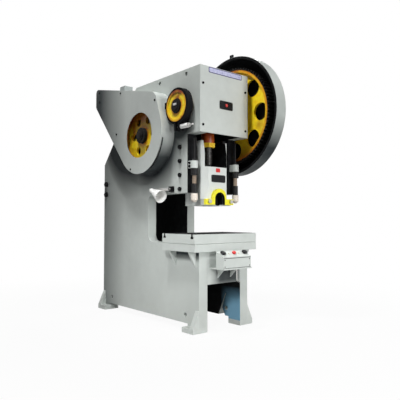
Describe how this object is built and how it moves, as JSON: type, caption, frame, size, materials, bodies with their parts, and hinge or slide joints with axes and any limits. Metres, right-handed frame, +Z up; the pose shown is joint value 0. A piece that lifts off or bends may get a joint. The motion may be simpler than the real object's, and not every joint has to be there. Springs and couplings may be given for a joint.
{
  "type": "mechanical power press",
  "caption": "Open-front crank press with a fixed bed: two side walls, a geared crank and guarded flywheel, a ram in V-guides, a bolster with T-slots and a two-hand control box.",
  "frame": {"origin": "on the floor, midway between the four foundation bolts", "axes": "+X to the operator's right, +Y from the operator to the rear, +Z up"},
  "size_m": [0.9, 2.069, 2.68],
  "materials": {
    "wall_paint": "satin enamel",
    "cover_paint": "satin enamel",
    "guard_paint": "satin enamel on sheet",
    "ram_paint": "satin enamel",
    "bolster_steel": "ground and oiled",
    "gear_yellow": "gloss enamel, greased teeth",
    "flywheel_yellow": "gloss enamel",
    "brake_yellow": "gloss enamel",
    "clamp_yellow": "gloss enamel",
    "rod_paint": "gloss enamel",
    "black_iron": "oiled black",
    "gib_iron": "scraped",
    "machined_steel": "turned",
    "spring_steel": "plated",
    "stop_paint": "satin enamel",
    "stop_steel": "turned",
    "bronze": "bored",
    "belt_rubber": "matt",
    "motor_paint": "satin enamel",
    "control_paint": "satin enamel",
    "black_plastic": "moulded",
    "red_plastic": "moulded",
    "pilot_plastic": "moulded lens",
    "lamp_white": "enamel",
    "bulb_glass": "frosted"
  },
  "bodies": {
    "frame": {"left_side_wall": "wall_paint", "right_side_wall": "wall_paint", "bed_table": "wall_paint", "front_apron": "wall_paint", "bed_rear_wall": "wall_paint", "rear_tie_plate": "wall_paint", "head_top_plate": "wall_paint", "head_rear_plate": "wall_paint", "feet": "wall_paint", "motor_bracket": "wall_paint", "control_tray": "wall_paint", "head_front_cover": "cover_paint", "gear_guard": "guard_paint", "flywheel_guard": "guard_paint", "bolster_plate": "bolster_steel", "rear_tie_rods": "black_iron", "gib_screws": "black_iron", "brake_band": "black_iron", "brake_anchor": "black_iron", "lamp_bracket": "black_iron", "gib_left": "gib_iron", "gib_right": "gib_iron", "brake_bolt": "machined_steel", "tool_hook": "machined_steel", "brake_spring": "spring_steel", "stop_bracket_left": "stop_paint", "stop_bracket_right": "stop_paint", "stop_screw_left": "stop_steel", "stop_screw_right": "stop_steel", "crank_bearings": "bronze", "drive_bearings": "bronze", "v_belts": "belt_rubber", "motor_frame": "motor_paint", "motor_cowl": "motor_paint", "motor_terminal_box": "motor_paint", "control_box": "control_paint", "indicator_lamps": "pilot_plastic"},
    "drive": {"drive_shaft": "machined_steel", "drive_pinion": "machined_steel", "flywheel": "flywheel_yellow"},
    "gear": {"bull_gear": "gear_yellow"},
    "motor_rotor": {"motor_shaft": "machined_steel", "motor_pulley": "machined_steel"},
    "crank": {"crankshaft": "machined_steel", "brake_drum": "brake_yellow"},
    "rod": {"connecting_rod": "rod_paint", "rod_cap": "rod_paint", "rod_bolts": "machined_steel", "adjusting_screw": "machined_steel", "lock_nut": "rod_paint"},
    "ram": {"ram": "ram_paint", "shank_clamp": "clamp_yellow", "clamp_nuts": "machined_steel", "shank_set_screw": "machined_steel"},
    "palm_left": {"palm_button_left": "black_plastic"},
    "palm_right": {"palm_button_right": "black_plastic"},
    "stop": {"stop_button": "red_plastic"},
    "lamp_arm": {"lamp_arm": "machined_steel"},
    "lamp_head": {"lamp_shade": "lamp_white", "lamp_bulb": "bulb_glass"}
  },
  "joints": [
    {"name": "drive_turn", "type": "hinge", "parent": "frame", "child": "drive", "pos_m": [0, -0.09855, 1.84], "axis": [1, 0, 0], "continuous": true},
    {"name": "gear_turn", "type": "hinge", "parent": "frame", "child": "gear", "pos_m": [0, -0.622, 2.05], "axis": [1, 0, 0], "continuous": true},
    {"name": "motor_turn", "type": "hinge", "parent": "frame", "child": "motor_rotor", "pos_m": [0, 0.69845, 2.345], "axis": [1, 0, 0], "continuous": true},
    {"name": "crank_turn", "type": "hinge", "parent": "frame", "child": "crank", "pos_m": [0, -0.622, 2.05], "axis": [-1, 0, 0], "range_deg": [0, 180]},
    {"name": "rod_swing", "type": "hinge", "parent": "crank", "child": "rod", "pos_m": [0, -0.622, 2.1], "axis": [-1, 0, 0], "range_deg": [-180, 0]},
    {"name": "ram_slide", "type": "slide", "parent": "frame", "child": "ram", "axis": [0, 0, -1], "range_m": [0, 0.1]},
    {"name": "palm_left_press", "type": "slide", "parent": "frame", "child": "palm_left", "axis": [0, 0.4436, -0.8962], "range_m": [0, 0.006], "stiffness_N_per_m": 1500, "springref_m": -0.005},
    {"name": "palm_right_press", "type": "slide", "parent": "frame", "child": "palm_right", "axis": [0, 0.4436, -0.8962], "range_m": [0, 0.006], "stiffness_N_per_m": 1500, "springref_m": -0.005},
    {"name": "stop_press", "type": "slide", "parent": "frame", "child": "stop", "axis": [0, 0.4436, -0.8962], "range_m": [0, 0.006], "stiffness_N_per_m": 1500, "springref_m": -0.005},
    {"name": "lamp_arm_swing", "type": "hinge", "parent": "frame", "child": "lamp_arm", "pos_m": [-0.343, -0.46, 1.292], "axis": [1, 0, 0], "range_deg": [-45, 20]},
    {"name": "lamp_shade_tilt", "type": "hinge", "parent": "lamp_arm", "child": "lamp_head", "pos_m": [-0.384, -0.214, 1.292], "axis": [1, 0, 0], "range_deg": [0, 70]}
  ],
  "couplings": [
    {"joint": "gear_turn", "follows": "drive_turn", "ratio": -0.175},
    {"joint": "motor_turn", "follows": "drive_turn", "ratio": 5.16},
    {"joint": "rod_swing", "follows": "crank_turn", "ratio": -1},
    {"joint": "ram_slide", "follows": "crank_turn", "m_per_rad": 0.03183}
  ]
}
